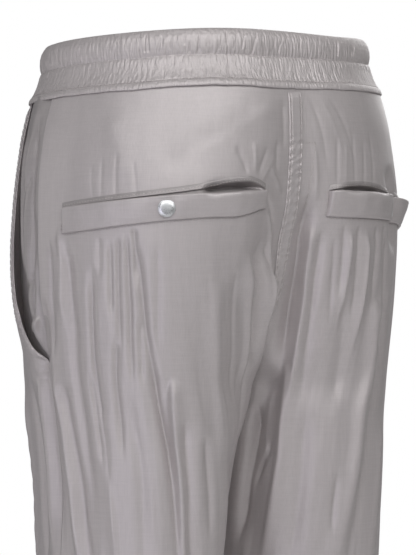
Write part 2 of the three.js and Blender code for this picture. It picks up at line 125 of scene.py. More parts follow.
# ---- Folds ----
# Creases: start, middle and end on the cloth, width, depth (out of the body if
# positive) and for some a lean, which turns a crease into a step.
CREASES = {}
CREASES["back_left"] = [
    # The fold over the crotch, and the hollow below it on the inner leg.
    (230, -188, 239, -280, 226, -358, 19, 8),
    (212, -340, 204, -470, 196, -640, 30, -9.5),
    (208, -218, 209, -290, 204, -376, 9, -3.6),
    (221, -226, 221, -290, 214, -366, 2.2, -1.6),
    # Long folds from under the pocket down the outer leg.
    (4, -225, -2, -336, 6, -480, 7, -4.2),
    (11, -292, 15, -372, 30, -520, 4.6, 4, -0.4),
    (22, -300, 26, -372, 46, -520, 7, -5.6, 0.3),
    (37, -178, 37, -283, 43, -480, 6.5, -4.2),
    (28, -165, 29, -215, 27, -262, 4, 1.8),
    (16, -178, 15, -235, 11, -290, 3, -1.6),
    (52, -290, 53, -335, 55, -380, 2.4, -1.8),
    (59, -322, 60, -385, 64, -500, 5, 1.8),
    (64, -200, 57, -292, 64, -425, 3.4, -2.8),
    (80, -181, 79, -217, 77, -252, 2.4, -1.7),
    (89, -178, 85, -221, 84, -286, 2.4, -2.2),
    (95, -174, 94, -233, 91, -318, 2.4, -2.2),
    (102, -173, 102, -192, 100, -226, 2.2, -1.6),
    (104, -182, 109, -293, 119, -500, 4, -3),
    (80, -262, 76, -311, 73, -374, 2.8, -2.2),
    (103, -248, 101, -275, 100, -310, 2, -1.6),
    (111, -285, 112, -334, 115, -392, 2.8, -2),
    (86, -300, 86, -384, 88, -500, 9, -1.8),
    (126, -296, 119, -366, 121, -500, 4, 3.2, -0.6),
    (134, -330, 128, -393, 131, -500, 6, -3.4),
    (149, -345, 148, -385, 148, -440, 4, -1.8),
    (155, -225, 154, -317, 155, -430, 8, -1.4),
    (70, -180, 70, -196, 68, -216, 2, -1),
    (122, -186, 119, -234, 116, -280, 3, -1.1),
    (174, -215, 173, -276, 171, -370, 8, 2.2, 0.4),
    (192, -205, 190, -262, 188, -330, 6, -2),
    (206, -192, 214, -250, 216, -322, 4.6, 3.2, 0.3),
    (223, -182, 227, -238, 226, -296, 5.4, -6),
    (236, -176, 240, -215, 240, -262, 4, 2.4),
    # The back pocket's mouth and the pulls round it.
    (158, -143.8, 192, -140.2, 222, -141, 2.3, -10),
    (186, -104, 195, -118, 202, -131, 2.2, -0.8),
    (203, -100, 207, -116, 208, -131, 2.2, 0.6),
    (220, -104, 215, -118, 211, -132, 2.2, -0.8),
    (230, -110, 223, -124, 216, -136, 2.2, 0.6),
    (62, -118, 63, -136, 65, -152, 1.3, -0.3),
    (71, -112, 72, -132, 73, -152, 1.2, -0.35),
    (84, -106, 85, -130, 87, -152, 1.3, -0.4),
    (99, -116, 102, -133, 105, -150, 1.2, -0.35),
    # Soft pulls across the seat and the puckers beside the back seam.
    (120, -128, 165, -101, 226, -69, 12, -1.1),
    (140, -118, 186, -90, 232, -57, 9, 0.9),
    (70, -70, 86, -108, 84, -138, 12, 0.9),
    (226, -60, 234, -84, 240, -112, 2.6, -0.7),
    (224, -143, 233, -156, 244, -176, 2.4, -1.6),
    (230, -98, 232, -112, 236, -128, 2.2, -0.9),
    (226, -124, 236, -134, 245, -146, 2.4, 0.9),
    (228, -160, 236, -174, 244, -196, 2.4, 1),
    (232, -186, 238, -202, 243, -226, 2.6, -2),
    (240, -208, 244, -232, 246, -262, 2.6, 1.8),
]
CREASES["back_right"] = [
    (242, -140, 240, -213, 228, -310, 6.4, -7),
    (229, -290, 222, -348, 220, -500, 6.4, 5, 0.3),
    (236, -168, 230, -234, 214, -350, 4.8, 4.2, 0.3),
    (226, -170, 220, -232, 206, -330, 4.2, -3),
    (157, -236, 147, -316, 160, -520, 10, 6.4, 0.35),
    (139, -244, 131, -323, 144, -520, 8, -4.4),
    (146, -172, 137, -235, 120, -300, 3.4, -1.8),
    (180, -172, 172, -226, 170, -285, 3, 2.2),
    (206, -168, 201, -200, 198, -236, 3, -1.8),
    (190, -168, 184, -209, 178, -262, 3, -2),
    (198, -174, 194, -216, 190, -268, 2.8, 1.6),
    (162, -385, 162, -411, 158, -445, 2.6, -1.5),
    (190, -232, 181, -278, 173, -336, 8, -3.2),
    (213, -178, 207, -217, 197, -264, 2.6, -1.4),
    (166, -168, 161, -200, 157, -240, 2.6, -1.6),
    (152, -168, 149, -190, 146, -222, 2.4, -1.2),
    (200, -330, 196, -400, 190, -480, 8, -2.6),
    (112, -330, 108, -420, 110, -540, 9, 3),
    (84, -190, 78, -290, 86, -460, 8, -4),
    (60, -185, 52, -300, 60, -450, 7, 3),
    (34, -190, 30, -290, 34, -430, 7, -3.6),
    (12, -230, 10, -330, 16, -470, 6, -3),
    # The inner face, deep between the legs.
    (243, -286, 242, -370, 236, -480, 17, -7),
    (249, -322, 249, -384, 249, -456, 4.5, -8),
    (228, -356, 236, -379, 244, -400, 2.4, -2.6),
    (240, -310, 238, -350, 233, -402, 6, 1),
    # The back pocket's mouth, its pulls, and the dimple at the snap.
    (150, -141.4, 182, -139.2, 214, -140.4, 1.9, -7),
    (134, -116, 129, -155, 124, -200, 10, -6.4),
    (206, -88, 212, -118, 215, -140, 1.8, -0.5),
    (198, -98, 203, -120, 206, -140, 1.8, 0.4),
    (187, -84, 192, -116, 196, -140, 1.8, -0.5),
    (174, -94, 180, -120, 185, -140, 1.8, -0.5),
    (162, -82, 166, -116, 172, -140, 1.8, -0.5),
    (150, -94, 154, -120, 159, -142, 1.8, -0.5),
    (224, -58, 222, -90, 224, -130, 2.4, -0.5),
    (204, -56, 196, -80, 191, -118, 2.4, -0.4),
    (214, -57, 208, -84, 204, -122, 2.4, 0.3),
    (232, -100, 234, -130, 238, -160, 2.2, 0.8),
    (70, -118, 71, -134, 72, -146, 2, -1.2),
    (84, -110, 85, -130, 86, -145, 2, -1.4),
    (101, -114, 102, -132, 103, -143, 2, -1.1),
]
CREASES["front_left"] = [
    # The first two pull at the side pocket's foot.
    (1, -290, 7, -293, 15, -296, 2.2, 1.7),
    (1, -297, 8, -299, 16, -300, 2, -1.3),
    (96, -110, 100, -250, 104, -430, 14, -4),
    (140, -80, 146, -190, 150, -310, 12, 3.2),
    (182, -230, 166, -370, 150, -520, 11, -4.6),
    (74, -320, 76, -450, 78, -620, 11, -3.6),
    (118, -200, 120, -300, 122, -420, 5, -2.4),
    (160, -140, 164, -220, 160, -300, 4, -1.9),
    (204, -200, 208, -250, 206, -296, 4, -3),
    (56, -300, 60, -400, 64, -520, 5, 2.4),
    (30, -292, 30, -380, 26, -500, 6, -3.2),
    (12, -296, 12, -370, 10, -470, 5, 2.4),
    (88, -66, 92, -96, 94, -130, 3, -1.4),
    (126, -62, 130, -90, 132, -126, 3, -1.6),
    (168, -64, 172, -100, 174, -140, 3.4, -1.6),
    (206, -66, 210, -110, 214, -150, 3.4, 1.4),
]
CREASES["front_right"] = [
    (1, -290, 7, -293, 15, -296, 2.2, 1.7),
    (1, -297, 8, -299, 16, -300, 2, -1.3),
    (90, -118, 94, -240, 98, -400, 14, -4),
    (132, -86, 140, -200, 146, -336, 12, 3.2),
    (176, -230, 160, -380, 146, -540, 11, -4.6),
    (70, -340, 76, -470, 82, -640, 11, -3.4),
    (114, -190, 112, -300, 116, -410, 5, -2.2),
    (156, -130, 160, -210, 158, -300, 4, -2),
    (200, -190, 206, -245, 206, -298, 4, -3),
    (50, -300, 54, -400, 60, -500, 5, 2.2),
    (24, -296, 26, -380, 22, -480, 6, -3),
    (82, -66, 86, -100, 88, -140, 3, -1.6),
    (120, -62, 122, -92, 126, -130, 3, -1.4),
    (164, -64, 166, -96, 170, -136, 3.4, -1.6),
    (200, -66, 206, -104, 212, -146, 3.4, 1.4),
]
CREASES["facing"] = [
    (-12, -58, -9, -160, -8, -282, 4, -2),
    (-20, -70, -18, -170, -14, -270, 3.6, 1.8),
    (-30, -62, -27, -160, -20, -262, 4, -2.6),
    (-40, -70, -37, -150, -31, -232, 4, 1.4),
    (-4, -190, -6, -236, -10, -276, 3, 2),
    (-14, -120, -22, -150, -26, -176, 3, -1.6),
    (-8, -206, -18, -222, -26, -232, 3, -1.8),
    (-2, -246, -10, -256, -18, -262, 2.6, 1.8),
]
# Folds below the knee, the same on every panel but for their places.
LOWER_FOLDS = [
    (60, -520, 66, -760, 62, -1010, 15, -4), (122, -500, 116, -720, 124, -960, 15, -4.4),
    (94, -560, 92, -740, 98, -940, 10, 3), (26, -500, 22, -700, 28, -930, 12, -3),
    (150, -600, 148, -780, 142, -1000, 12, 3), (172, -470, 164, -600, 158, -760, 11, -3.6),
    (44, -640, 40, -800, 44, -980, 9, 2.4),
]


# ---- Small helpers ----
def smooth(t):
    t = np.clip(t, 0, 1)
    return t * t * (3 - 2 * t)


def together(*values):
    """The values as arrays of one shape."""
    return np.broadcast_arrays(*(np.asarray(value, float) for value in values))


def monotone(x, y):
    """Monotone cubic through the points of two rows of a table."""
    order = np.argsort(x)
    x, y = np.asarray(x, float)[order], np.asarray(y, float)[order]
    h = np.diff(x)
    rise = np.diff(y) / h
    slope = np.zeros(len(x))
    slope[0], slope[-1] = rise[0], rise[-1]
    for i in range(1, len(x) - 1):
        if rise[i - 1] * rise[i] > 0:
            w1 = 2 * h[i] + h[i - 1]
            w2 = h[i] + 2 * h[i - 1]
            slope[i] = (w1 + w2) / (w1 / rise[i - 1] + w2 / rise[i])

    def value(at):
        at = np.clip(at, x[0], x[-1])
        i = np.clip(np.searchsorted(x, at) - 1, 0, len(h) - 1)
        t = (at - x[i]) / h[i]
        return ((2 * t**3 - 3 * t**2 + 1) * y[i] + (t**3 - 2 * t**2 + t) * h[i] * slope[i]
                + (3 * t**2 - 2 * t**3) * y[i + 1] + (t**3 - t**2) * h[i] * slope[i + 1])

    return value


SECTION = {name: monotone(SECTIONS[:, 0], SECTIONS[:, i])
           for i, name in enumerate(SECTION_COLUMNS) if i}
mouth_ahead = monotone(POCKET_SLANT[:, 0], POCKET_SLANT[:, 1])
mouth_gape = monotone(POCKET_SLANT[:, 0], POCKET_SLANT[:, 2])
strip_half = monotone(STRIP[:, 0], STRIP[:, 1])
WELT = {side: {column: monotone(rows[:, 0], rows[:, i]) for i, column in enumerate(WELT_COLUMNS) if i}
        for side, rows in WELTS.items()}


class Noise:
    """Smooth value noise from a seeded lattice."""

    def __init__(self, seed, size=128):
        self.size = size
        self.lattice = np.random.RandomState(seed).uniform(-1, 1, (size, size))

    def __call__(self, u, v):
        u, v = together(u, v)
        iu, iv = np.floor(u).astype(int), np.floor(v).astype(int)
        fu, fv = smooth(u - iu), smooth(v - iv)
        low = self.at(iu, iv) * (1 - fu) + self.at(iu + 1, iv) * fu
        high = self.at(iu, iv + 1) * (1 - fu) + self.at(iu + 1, iv + 1) * fu
        return low * (1 - fv) + high * fv

    def at(self, a, b):
        return self.lattice[a % self.size, b % self.size]


# ---- The body's surface ----
ARC_STEPS = 48
SHARE_STEPS = 720
LEVEL_STEP = 2.0


def half_curve(z):
    """One half section, from the back seam round the side to the front seam."""
    v = {name: float(value(z)) for name, value in SECTION.items()}
    u = np.linspace(0, 1, ARC_STEPS + 1)
    q = u * math.pi / 2

    def inner(seam_y, x, y):
        shallow = np.stack([v["inner"] + (x - v["inner"]) * u, seam_y + (y - seam_y) * smooth(u)], 1)
        rounded = np.stack([x - (x - v["inner"]) * np.cos(q), seam_y + (y - seam_y) * np.sin(q)], 1)
        return shallow * (1 - v["arch"]) + rounded * v["arch"]

    def outer(x, y):
        return np.stack([x + (v["side"] - x) * np.sin(q), y * np.cos(q)], 1)

    back = np.concatenate([inner(v["seam_back"], v["back_x"], v["back_y"]),
                           outer(v["back_x"], v["back_y"])[1:]])
    front = np.concatenate([outer(v["front_x"], v["front_y"])[::-1][1:],
                            inner(v["seam_front"], v["front_x"], v["front_y"])[::-1][1:]])
    points = np.concatenate([back, front])
    arc = np.concatenate([[0], np.cumsum(np.linalg.norm(np.diff(points, axis=0), axis=1))])
    return points, arc, arc[len(back) - 1] - SIDE_SEAM_BACK


def base_tables():
    levels = np.arange(24, -OUTSEAM - 8, -LEVEL_STEP)
    share = np.linspace(-1, 1, SHARE_STEPS + 1)
    x, y, back, front = [], [], [], []
    for z in levels:
        points, arc, seam = half_curve(z)
        s = seam - share * np.where(share > 0, seam, arc[-1] - seam)
        x.append(np.interp(s, arc, points[:, 0]))
        y.append(np.interp(s, arc, points[:, 1]))
        back.append(seam)
        front.append(arc[-1] - seam)
    return levels, np.array(x), np.array(y), np.array(back), np.array(front)


LEVELS, BASE_X, BASE_Y, REACH_BACK, REACH_FRONT = base_tables()
CROTCH_BLUR, CROTCH_TOP, CROTCH_FOOT, BLUR_EDGE = 16.0, -222, -402, 42


def blurred(table):
    """The crotch is a soft saddle: levels near it are averaged up and down the cloth."""
    gap = (LEVELS[:, None] - LEVELS[None, :]) / CROTCH_BLUR
    weight = np.exp(-gap**2)
    weight /= weight.sum(1, keepdims=True)
    share = smooth((CROTCH_TOP - LEVELS) / BLUR_EDGE) * smooth((LEVELS - CROTCH_FOOT) / BLUR_EDGE)
    share = share.reshape(-1, *([1] * (table.ndim - 1)))
    return table * (1 - share) + (weight @ table) * share


BASE_X, BASE_Y = blurred(BASE_X), blurred(BASE_Y)
REACH_BACK, REACH_FRONT = blurred(REACH_BACK), blurred(REACH_FRONT)
_dx, _dy = np.gradient(BASE_X, axis=1), np.gradient(BASE_Y, axis=1)
NORMAL_X, NORMAL_Y = _dy / np.hypot(_dx, _dy), -_dx / np.hypot(_dx, _dy)


def reach(z, face):
    """Distance along the cloth from the side seam to the back or the front seam."""
    table = REACH_BACK if face == "back" else REACH_FRONT
    return np.interp(-np.asarray(z, float), -LEVELS, table)


def base(out, z):
    """Plan point and outward direction of the plain body at (out, z), for the left half."""
    share = np.where(out > 0, out / reach(z, "back"), out / reach(z, "front"))
    column = np.clip((share + 1) / 2 * SHARE_STEPS, 0, SHARE_STEPS - 1e-6)
    row = np.clip((LEVELS[0] - z) / LEVEL_STEP, 0, len(LEVELS) - 1.001)
    c, r = column.astype(int), row.astype(int)
    fc, fr = column - c, row - r
    corners = ((r, c, (1 - fr) * (1 - fc)), (r, c + 1, (1 - fr) * fc),
               (r + 1, c, fr * (1 - fc)), (r + 1, c + 1, fr * fc))
    return [sum(table[i, j] * w for i, j, w in corners) for table in (BASE_X, BASE_Y, NORMAL_X, NORMAL_Y)]


# ---- Folds over the body ----
CREASE_STEPS = 12
# A crease thinner than THIN is sharper and stands out more: power of its fall and gain.
THIN = 6.5
SHARP, BROAD = (1.3, 1.6), (1.7, 1.15)
CREASE_REACH, MOST_LEAN = 3.4, 2.5
# Share of its length over which a crease starts and ends.
STARTING, ENDING = 0.2, 0.3
# How far a crease wanders, as a share of its width, and over what length.
WANDERING, WANDER_LENGTH = 0.28, 36
WANDER = Noise(3)
STREAKS = Noise(11)
SOFT = Noise(31)
SIDE_SEED = {LEFT: 0, RIGHT: 40}
# Unevenness between the creases: height, width across and length down the cloth.
LOOSE_WAVES, LOOSE_STREAKS = (0.55, 30, 140), (0.6, 8, 80)
TIGHT_WAVES, FINE_STREAKS = (0.3, 26, 44), (0.2, 3.4, 46)
FACING_STREAKS = (0.3, 5, 14)
# Height over which the tight waves, near the seat, lean across by one of their widths.
TIGHT_SLANT = 60
# Below HANGING_TOP the cloth gets loose and hangs, over HANGING_LENGTH.
HANGING_TOP, HANGING_LENGTH = -165, 90


def side_creases(name, shift):
    """All creases of one side with signed distances, so that they run on over the side seam."""
    rows = list(CREASES["back_" + name])
    for sign, moved in ((1, shift), (-1, -shift)):
        rows += [(sign * (a + moved), za, sign * (b + moved), zb, sign * (c + moved), zc, *form)
                 for a, za, b, zb, c, zc, *form in LOWER_FOLDS]
    rows += [(-a, za, -b, zb, -c, zc, *form)
             for a, za, b, zb, c, zc, *form in CREASES["front_" + name]]
    return rows


SIDE_CREASES = {LEFT: side_creases("left", 0), RIGHT: side_creases("right", 7)}


def crease_relief(rows, out, z):
    """Height that a table of creases adds at each place."""
    total = np.zeros_like(out)
    t = np.linspace(0, 1, CREASE_STEPS + 1)[:, None]
    for number, (out0, z0, out1, z1, out2, z2, width, depth, *step_lean) in enumerate(rows):
        lean = step_lean[0] if step_lean else 0
        start, middle, end = np.array([out0, z0]), np.array([out1, z1]), np.array([out2, z2])
        control = 2 * middle - (start + end) / 2
        path = (1 - t) ** 2 * start + 2 * t * (1 - t) * control + t**2 * end
        margin = CREASE_REACH * width
        near = ((out > path[:, 0].min() - margin) & (out < path[:, 0].max() + margin)
                & (z > path[:, 1].min() - margin) & (z < path[:, 1].max() + margin))
        if not near.any():
            continue
        p = np.stack([out[near], z[near]], 1)
        wander = WANDER(p[:, 1] / WANDER_LENGTH + number * 7.3, number * 1.7 + 0.5)
        p[:, 0] += width * WANDERING * wander
        best = np.full(len(p), 1e9)
        side, along = np.zeros(len(p)), np.zeros(len(p))
        for i in range(CREASE_STEPS):
            a, step = path[i], path[i + 1] - path[i]
            length = np.linalg.norm(step)
            share = ((p - a) @ step) / length**2
            gap = p - a - np.clip(share, 0, 1)[:, None] * step
            distance = np.linalg.norm(gap, axis=1)
            closer = distance < best
            best = np.where(closer, distance, best)
            side = np.where(closer, (gap[:, 0] * step[1] - gap[:, 1] * step[0]) / length, side)
            along = np.where(closer, (i + share) / CREASE_STEPS, along)
        power, gain = SHARP if width < THIN else BROAD
        ends = smooth(along / STARTING) * smooth((1 - along) / ENDING)
        shape = np.exp(-(best / width) ** power)
        signed = np.clip(side / width, -MOST_LEAN, MOST_LEAN)
        total[near] += depth * gain * ends * shape * (1 - abs(lean) + lean * 2 * signed)
    return total


def leg_breaks(side, angle, z):
    """Soft breaks across the leg where it hangs."""
    depth = np.zeros_like(z)
    for level, height, amount, turn in LEG_BREAKS:
        slant = height * 0.5 * np.sin(angle + turn * side)
        across = np.exp(-((z - level - slant) / (height * 0.45)) ** 2)
        depth -= amount * across * (0.55 + 0.45 * np.cos(angle - turn))
    return depth


def relief(side, out, z, x, y, layer):
    """Height of the cloth's folds over the plain body."""

    def uneven(noise, size, shift, shift_down=0):
        height, across, down = size
        return height * noise(out / across + shift, z / down + shift_down)

    if layer == "facing":
        return crease_relief(CREASES["facing"], out, z) + uneven(STREAKS, FACING_STREAKS, 160)
    seed = SIDE_SEED[side]
    depth = crease_relief(SIDE_CREASES[side], out, z)
    hanging = smooth((HANGING_TOP - z) / HANGING_LENGTH)
    depth += uneven(SOFT, LOOSE_WAVES, seed, seed) * hanging
    depth += uneven(STREAKS, LOOSE_STREAKS, seed) * hanging
    depth += uneven(SOFT, TIGHT_WAVES, z / TIGHT_SLANT + seed) * (1 - hanging)
    depth += uneven(STREAKS, FINE_STREAKS, seed, 9) * (0.3 + 0.7 * hanging)
    depth += leg_breaks(side, np.arctan2(y, x - SECTION["back_x"](z)), z)
    return depth * smooth((x - SEAM_GAP) / FOLD_FADE) * smooth((-z - WAISTBAND_HEIGHT - 1) / 20)


def skin(side, out, z, layer="panel"):
    """Points of the garment's outer face, [..., 3]."""
    out, z = together(out, z)
    x, y, nx, ny = base(out, z)
    depth = relief(side, out, z, x, y, layer)
    if layer == "panel":
        sewn = (1 - smooth(mouth_ahead(z) / SEWN_MOUTH)) * (1 - smooth(-out / SEWN_REACH))
        bulge = mouth_gape(z) * (1 - smooth((-out - mouth_ahead(z)) / GAPE_REACH)) * (1 - sewn)
        depth = depth + np.where(out < 0, bulge, 0)
    px = np.maximum(SEAM_GAP / 2, x + nx * depth)
    py = y + ny * depth + LEG_SET_BACK * smooth((LEG_TOP - z) / LEG_SETTLING)
    tilt = WAIST_TILT * np.clip((z - TILT_END) / -TILT_END, 0, 1)
    sag = (WAIST_SAG + WAIST_ROLL * side * px) * smooth((z - SAG_FOOT) / SAG_LENGTH)
    return np.stack([side * px, py, z + py * tilt - sag], -1)


def skin_normal(side, out, z, layer="panel"):
    """Outward normals at places on the cloth."""
    out, z = together(out, z)
    high = np.where(out > 0, reach(z, "back"), -0.05)
    low = np.where(out > 0, 0.05, -reach(z, "front"))
    along = (skin(side, np.minimum(high, out + 1.5), z, layer)
             - skin(side, np.maximum(low, out - 1.5), z, layer))
    down = skin(side, out, z - 2, layer) - skin(side, out, z + 2, layer)
    normal = side * np.cross(down, along)
    return normal / np.linalg.norm(normal, axis=-1, keepdims=True)


def off_skin(side, out, z, lift, layer="panel"):
    """Places that stand off the cloth along its own normal."""
    out, z, lift = together(out, z, lift)
    return skin(side, out, z, layer) + skin_normal(side, out, z, layer) * lift[..., None]


def off_plan(side, out, z, lift):
    """Places that stand off the cloth straight out, whatever the creases' slopes are."""
    out, z, lift = together(out, z, lift)
    _, _, nx, ny = base(out, z)
    return skin(side, out, z) + np.stack([side * nx * lift, ny * lift, 0 * lift], -1)


def from_back_seam(across, z):
    return reach(z, "back") - across


# ---- Meshes ----
def mesh_object(name, points, faces, material):
    mesh = bpy.data.meshes.new(name)
    mesh.from_pydata((np.asarray(points).reshape(-1, 3) * MM).tolist(), [], faces.tolist())
    mesh.polygons.foreach_set("use_smooth", [True] * len(mesh.polygons))
    mesh.materials.append(material)
    piece = bpy.data.objects.new(name, mesh)
    bpy.context.scene.collection.objects.link(piece)
    return piece


def grid_faces(rows, columns, wrap=False, flip=False):
    r = np.arange(rows - 1)[:, None]
    c = np.arange(columns if wrap else columns - 1)[None, :]
    c2 = (c + 1) % columns
    corners = ((r, c), (r + 1, c), (r + 1, c2), (r, c2))
    faces = np.stack([(a * columns + b).ravel() for a, b in corners], 1)
    return faces[:, ::-1] if flip else faces


def grid_object(name, points, material, **how):
    rows, columns = points.shape[:2]
    return mesh_object(name, points, grid_faces(rows, columns, **how), material)


def finish_piece(piece, slot, *nodes):
    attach(piece, "root")
    if nodes:
        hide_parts(*nodes)
    return piece


# ---- Materials ----
def new_material(name):
    material = bpy.data.materials.new(name)
    material.use_nodes = True
    return material, material.node_tree.nodes["Principled BSDF"]


def set_inputs(node, values):
    for name, value in values.items():
        node.inputs[name].default_value = value


def new_node(owner, kind, values):
    """A new node of a material or a world, with the inputs that stay plain numbers."""
    node = owner.node_tree.nodes.new("ShaderNode" + kind)
    set_inputs(node, values)
    return node


def streak_noise(material, scale, detail):
    """Noise drawn out along the threads, spread to the whole range from 0 to 1."""
    links = material.node_tree.links
    place = new_node(material, "TexCoord", {})
    mapping = new_node(material, "Mapping", {"Scale": scale})
    noise = new_node(material, "TexNoise", {"Scale": 1.0, "Detail": detail})
    spread = new_node(material, "MapRange", {"From Min": 0.3, "From Max": 0.7})
    links.new(place.outputs["Object"], mapping.inputs["Vector"])
    links.new(mapping.outputs["Vector"], noise.inputs["Vector"])
    links.new(noise.outputs["Fac"], spread.inputs["Value"])
    return spread.outputs["Result"]


def mixed(material, low, high, factor):
    tone = new_node(material, "Mix", {})
    tone.data_type = "RGBA"
    set_inputs(tone, {"A": (*low, 1), "B": (*high, 1)})
    material.node_tree.links.new(factor, tone.inputs["Factor"])
    return tone.outputs["Result"]


def weighted_sum(material, values):
    links = material.node_tree.links
    total = None
    for value, weight in values:
        step = new_node(material, "Math", {})
        step.operation = "MULTIPLY_ADD"
        links.new(value, step.inputs[0])
        step.inputs[1].default_value = weight
        step.inputs[2].default_value = 0
        if total is not None:
            links.new(total, step.inputs[2])
        total = step.outputs[0]
    return total


def bump(material, height, strength, distance, below=None):
    links = material.node_tree.links
    node = new_node(material, "Bump", {"Strength": strength, "Distance": distance})
    links.new(height, node.inputs["Height"])
    if below:
        links.new(below, node.inputs["Normal"])
    return node.outputs["Normal"]


SATIN_METAL = 0.32
# The darkest and the lightest threads, beside the cloth's own colour.
DARKER, LIGHTER = 0.915, 1.08


def satin(name, color, roughness, gathers=0):
    """Satin: long floats down the cloth, fine slubs across it and a faint change of tone.

    gathers is the strength of the fine pleats that only the gathered waistband has.
    """
    material, shader = new_material(name)
    set_inputs(shader, {"Roughness": roughness, "Metallic": SATIN_METAL, "Sheen Weight": 0.1,
                        "Sheen Roughness": 0.4, "Specular IOR Level": 0.6})
    floats = streak_noise(material, (1100, 1100, 40), 2)
    slubs = streak_noise(material, (50, 50, 1000), 2)
    bands = streak_noise(material, (90, 90, 5), 2)
    factor = weighted_sum(material, ((floats, 0.38), (slubs, 0.32), (bands, 0.3)))
    low, high = [c * DARKER for c in color], [c * LIGHTER for c in color]
    links = material.node_tree.links
    links.new(mixed(material, low, high, factor), shader.inputs["Base Color"])
    normal = bump(material, floats, 0.16, 0.0003)
    normal = bump(material, slubs, 0.1, 0.0003, normal)
    if gathers:
        pleats = streak_noise(material, (420, 420, 40), 2)
        normal = bump(material, pleats, gathers, 0.0008, normal)
    links.new(normal, shader.inputs["Normal"])
    return material


def metal(name):
    material, shader = new_material(name)
    set_inputs(shader, {"Base Color": (0.72, 0.73, 0.74, 1), "Metallic": 1.0})
    grain = streak_noise(material, (900, 900, 900), 1)
    links = material.node_tree.links
    spread = new_node(material, "MapRange", {"To Min": 0.26, "To Max": 0.4})
    links.new(grain, spread.inputs["Value"])
    links.new(spread.outputs["Result"], shader.inputs["Roughness"])
    return material


SATIN = satin("satin", (0.505, 0.468, 0.468), 0.47)
GATHERED = satin("satin_gathered", (0.54, 0.50, 0.498), 0.48, 0.6)
# The pocket facing and the welt lip are the same satin as the panels; their darker colour is painted
# shade, for the shadow they lie in.
SHADED_SATIN = satin("satin_painted_shade", (0.38, 0.352, 0.35), 0.45)
THREAD = satin("thread", (0.56, 0.52, 0.51), 0.5)
STEEL = metal("snap_steel")

# ---- Panels ----
# Rows of the panels' mesh: from, to and spacing, finest at the back pockets.
ROW_STOPS = ((-46, -126, 2.6), (-126, -182, 1.5), (-182, -520, 3), (-520, -OUTSEAM, 5.5))
INNER_Z = [-46, -150, -250, CROTCH_Z, -467, -OUTSEAM]
INNER_PART = {
    "back": monotone(INNER_Z, [238, 250, 254, 246, 200, 150]),
    "front": monotone(INNER_Z, [200, 216, 214, 208, 172, 140]),
}
PANEL_COLUMNS = {"back": (205, 62), "front": (88, 32)}
# The hem's fold and the cloth turned up inside it: height above the edge and depth inside.
HEM_ROWS = ((-0.3, -1.2), (0.6, -2.4), (13, -2.6), (HEM_DEPTH, -2.6))
# The pocket edge of a front panel, turned under: distance behind the edge and depth inside.
TURNED_EDGE = ((0.4, -1.1), (3, -1.5), (14, -1.6))


def panel_grid(face):
    rows = [np.linspace(top, foot, round((top - foot) / step), endpoint=False)
            for top, foot, step in ROW_STOPS]
    z = np.concatenate(rows + [[-OUTSEAM]])
    wide, inner = PANEL_COLUMNS[face]
    ends = reach(z, face) - SEAM_GAP / 2
    start = SEAM_GAP / 2 + (mouth_ahead(z) if face == "front" else 0 * z)
    bend = np.minimum(INNER_PART[face](z), ends - 12)
    u, w = np.linspace(0, 1, wide + 1), np.linspace(0, 1, inner + 1)[1:]
    out = np.concatenate([start[:, None] + (bend - start)[:, None] * u,
                          bend[:, None] + (ends - bend)[:, None] * w], 1)
    return (-out if face == "front" else out), np.broadcast_to(z[:, None], out.shape)


def panel_cloth(side, name, face):
    """One panel, with its hem turned up inside."""
    out, levels = panel_grid(face)
    rows = [skin(side, out, levels)]
    for above, lift in HEM_ROWS:
        rows.append(off_skin(side, out[-1:], levels[-1:] + above, lift))
    points = np.concatenate(rows)
    if face == "front":
        turned = []
        open_mouth = smooth(mouth_ahead(levels[:, :1]) / 6)
        for ahead, lift in TURNED_EDGE:
            edge = off_skin(side, out[:, :1] - ahead * open_mouth, levels[:, :1], lift * open_mouth)
            turned.insert(0, np.concatenate([edge, np.repeat(edge[-1:], len(HEM_ROWS), 0)]))
        points = np.concatenate(turned + [points], 1)
    piece = grid_object(f"{face}_cloth_{name}", points, SATIN, flip=(side > 0) != (face == "back"))
    bpy.context.view_layer.update()
    clean(piece)
    finish_piece(piece, "satin", f"{face}_panel_{name}")


def clean(piece):
    """Welds doubled points and takes out faces without area."""
    mesh = bmesh.new()
    mesh.from_mesh(piece.data)
    bmesh.ops.remove_doubles(mesh, verts=mesh.verts, dist=2e-6)
    bmesh.ops.dissolve_degenerate(mesh, edges=mesh.edges, dist=1e-6)
    mesh.to_mesh(piece.data)
    mesh.free()


# ---- Side pockets ----
FACING_TOP, FACING_FOOT, FACING_STEP, FACING_COLUMNS = -49, -294, 1.7, 64
# How far the facing runs on behind the side seam and ahead of the mouth's edge.
FACING_BEHIND, FACING_AHEAD = 7, 26
# The facing lies inside the panels, bulges in the mouth and sinks in at its foot. The bulge's
# place and width are shares of the mouth.
FACING_UNDER = {"back": -2.6, "front": -2.2}
BELLY, BELLY_PLACE, BELLY_WIDTH = 4.4, 0.42, 0.33
SINK, SINK_TOP, SINK_LENGTH = 3.6, -272, 18


def pocket_facing_cloth(side, name):
    z = np.arange(FACING_TOP, FACING_FOOT, -FACING_STEP)[:, None]
    ahead = mouth_ahead(z)
    front = -ahead - FACING_AHEAD
    out = FACING_BEHIND + (front - FACING_BEHIND) * np.linspace(0, 1, FACING_COLUMNS)[None, :]
    place = (-out / (ahead + 0.1) - BELLY_PLACE) / BELLY_WIDTH
    belly = BELLY * np.exp(-place**2) * smooth((ahead - 3) / 14)
    sink = SINK * smooth((SINK_TOP - z) / SINK_LENGTH)
    under = np.where(out > 0, FACING_UNDER["back"], FACING_UNDER["front"]) + belly - sink
    points = off_skin(side, out, z, under, "facing")
    # The facing takes the darker satin: painted shade inside the pocket's mouth.
    piece = grid_object(f"side_pocket_inside_{name}", points, SHADED_SATIN, flip=side > 0)
    finish_piece(piece, "satin_facing", f"side_pocket_facing_{name}")


EDGE_TOP, EDGE_FOOT, EDGE_WIDTH = -56, -286, 8.5
ROPE_PITCH, ROPE_SLANT = 6.4, 2.4


def edge_narrowing(z):
    """The band along the mouth narrows to its foot."""
    return smooth((mouth_ahead(z) + 6) / 16)


